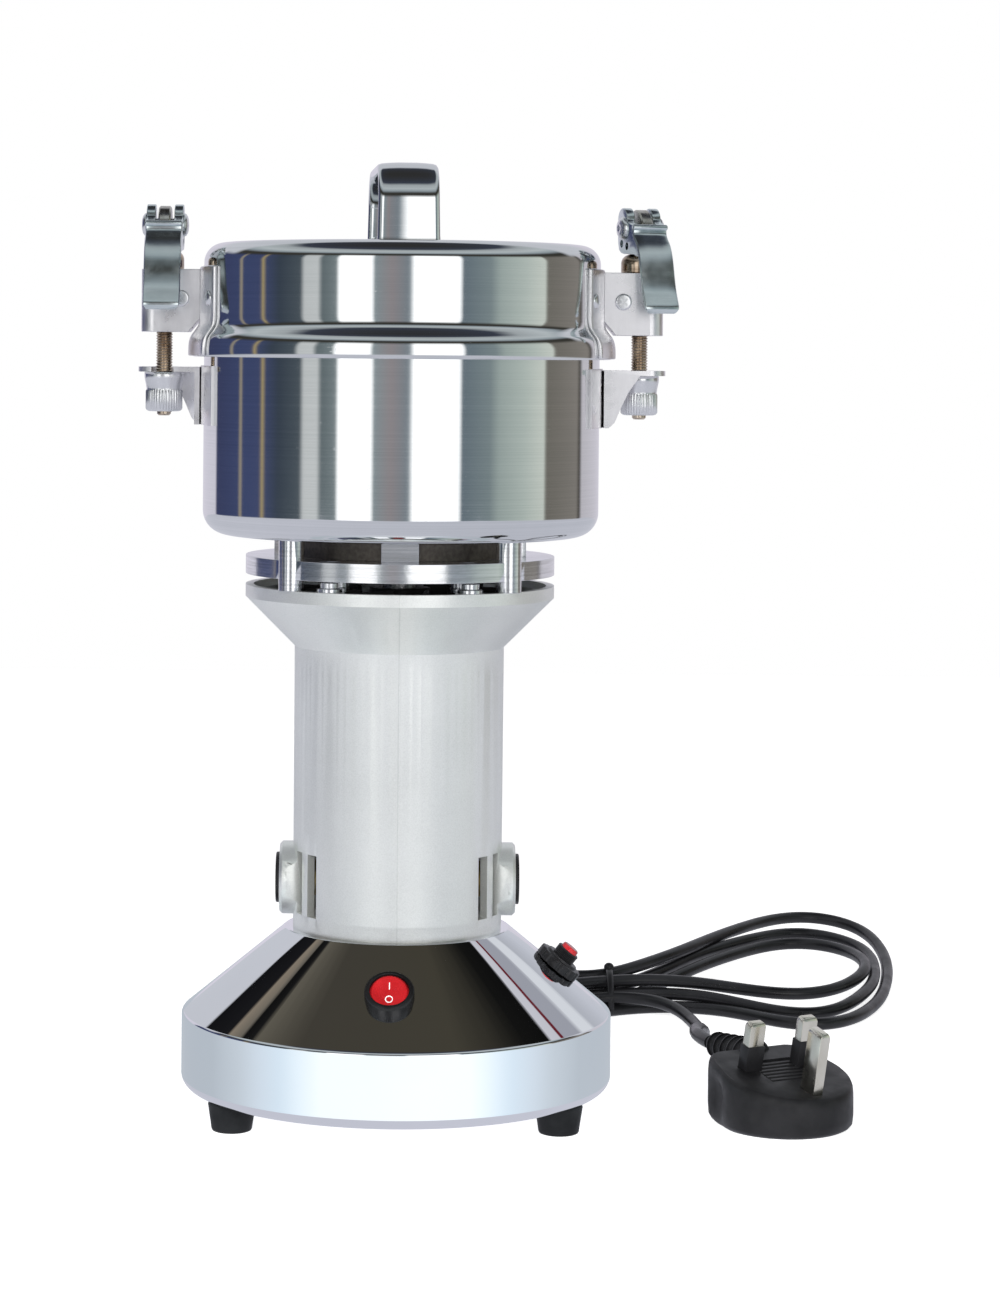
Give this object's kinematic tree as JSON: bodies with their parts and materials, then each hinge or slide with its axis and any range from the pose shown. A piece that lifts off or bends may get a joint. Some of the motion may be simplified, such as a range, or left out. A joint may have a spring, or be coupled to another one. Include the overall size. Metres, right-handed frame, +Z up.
{
  "type": "hammer mill",
  "caption": "Upright electric grain and spice mill: round lidded bowl with cam latches over a flared motor tube on a conical base with a rocker switch, mains cord and plug.",
  "frame": {"origin": "centre of the base on the floor, under the rotor's axis", "axes": "+Z up along the rotor's axis, -Y towards the switch, +X towards the plug"},
  "size_m": [0.3094, 0.38, 0.3395],
  "materials": {
    "chrome": "mirror polished, with fine wiping marks",
    "polished_steel": "polished, with fine turning lines",
    "latch_steel": "satin, bent sheet",
    "lever_zinc": "satin bluish zinc plate, tumbled",
    "bolt_plate": "yellow-passivated thread",
    "washer_steel": "turned, tarnished",
    "steel": "turned, satin",
    "silver_coat": "satin silver-grey powder coat, fine speckle",
    "cast_alloy": "machined casting, satin",
    "black_plastic": "fine moulded grain",
    "red_plastic": "gloss",
    "rubber": "matt",
    "seal": "satin, pale silicone",
    "cord_rubber": "satin sheath",
    "plug_plastic": "moulded, worn satin",
    "plug_pin": "nickel plated, satin",
    "lamination": "stacked sheet edges, oiled",
    "copper": "enamelled wire",
    "holder_brass": "drawn",
    "carbon": "pressed carbon",
    "fan_plastic": "moulded",
    "blade_steel": "ground"
  },
  "bodies": {
    "machine": {"base_shell": "chrome", "base_plate": "steel", "base_screws": "steel", "rubber_feet": "rubber", "foot_screws": "steel", "switch_housing": "black_plastic", "breaker_body": "black_plastic", "breaker_ring": "black_plastic", "motor_housing": "silver_coat", "brush_holders": "holder_brass", "brush_caps": "black_plastic", "carbon_brushes": "carbon", "brush_springs": "steel", "stator_core": "lamination", "field_coils": "copper", "bearing_outer_races": "steel", "end_bell": "cast_alloy", "end_bell_screws": "steel", "bowl": "polished_steel", "bowl_screws": "steel", "shaft_seal": "rubber", "ear_left": "latch_steel", "ear_right": "latch_steel", "cord_gland": "black_plastic", "cord_lead": "cord_rubber", "cord_hank": "cord_rubber", "cord_tail": "cord_rubber", "cord_tie": "black_plastic", "plug_body": "plug_plastic", "plug_pins": "plug_pin", "pin_sleeves": "black_plastic"},
    "rotor": {"rotor_shaft": "steel", "armature_core": "lamination", "armature_winding": "copper", "commutator": "copper", "cooling_fan": "fan_plastic", "bearing_inner_races": "steel", "lower_cutter": "blade_steel", "upper_cutter": "blade_steel", "cutter_spacers": "steel", "cutter_nut": "steel"},
    "lid": {"lid_shell": "polished_steel", "lid_gasket": "seal", "lid_handle": "polished_steel", "handle_screws": "steel", "latch_saddles": "latch_steel", "latch_boxes": "latch_steel", "latch_screws": "steel", "pressure_washers": "washer_steel"},
    "draw_bolt_left": {"draw_bolt_left": "bolt_plate"},
    "draw_bolt_right": {"draw_bolt_right": "bolt_plate"},
    "lever_left": {"cam_lever_left": "lever_zinc", "lever_pin_left": "steel"},
    "lever_right": {"cam_lever_right": "lever_zinc", "lever_pin_right": "steel"},
    "thumb_nut_left": {"thumb_nut_left": "steel"},
    "thumb_nut_right": {"thumb_nut_right": "steel"},
    "switch_rocker": {"switch_rocker": "red_plastic"},
    "breaker_button": {"breaker_button": "red_plastic"}
  },
  "joints": [
    {"name": "rotor_spin", "type": "hinge", "parent": "machine", "child": "rotor", "pos_m": [0, 0, 0.15], "axis": [0, 0, 1], "continuous": true},
    {"name": "lid_turn", "type": "hinge", "parent": "machine", "child": "lid", "pos_m": [0, 0, 0.275], "axis": [0, 0, 1], "range_deg": [0, 30]},
    {"name": "bolt_swivel_left", "type": "hinge", "parent": "lid", "child": "draw_bolt_left", "pos_m": [-0.0854, 0, 0.3], "axis": [0, 0, 1], "range_deg": [-90, 0]},
    {"name": "bolt_swivel_right", "type": "hinge", "parent": "lid", "child": "draw_bolt_right", "pos_m": [0.0854, 0, 0.3], "axis": [0, 0, 1], "range_deg": [-19, 71]},
    {"name": "lever_left_hinge", "type": "hinge", "parent": "draw_bolt_left", "child": "lever_left", "pos_m": [-0.0854, 0, 0.3175], "axis": [-1, 0, 0], "range_deg": [0, 150]},
    {"name": "lever_right_hinge", "type": "hinge", "parent": "draw_bolt_right", "child": "lever_right", "pos_m": [0.0854, 0, 0.3175], "axis": [-0.9455, -0.3256, 0], "range_deg": [0, 150]},
    {"name": "thumb_nut_left_turn", "type": "hinge", "parent": "draw_bolt_left", "child": "thumb_nut_left", "pos_m": [-0.0854, 0, 0.257], "axis": [0, 0, 1], "continuous": true},
    {"name": "thumb_nut_right_turn", "type": "hinge", "parent": "draw_bolt_right", "child": "thumb_nut_right", "pos_m": [0.0854, 0, 0.257], "axis": [0, 0, 1], "continuous": true},
    {"name": "rocker_tilt", "type": "hinge", "parent": "machine", "child": "switch_rocker", "pos_m": [-0.00233, -0.05808, 0.0519], "axis": [-0.9992, 0.0401, 0], "range_deg": [0, 20]},
    {"name": "breaker_pop", "type": "slide", "parent": "machine", "child": "breaker_button", "axis": [0.633, -0.0332, 0.7735], "range_m": [0, 0.003]}
  ]
}
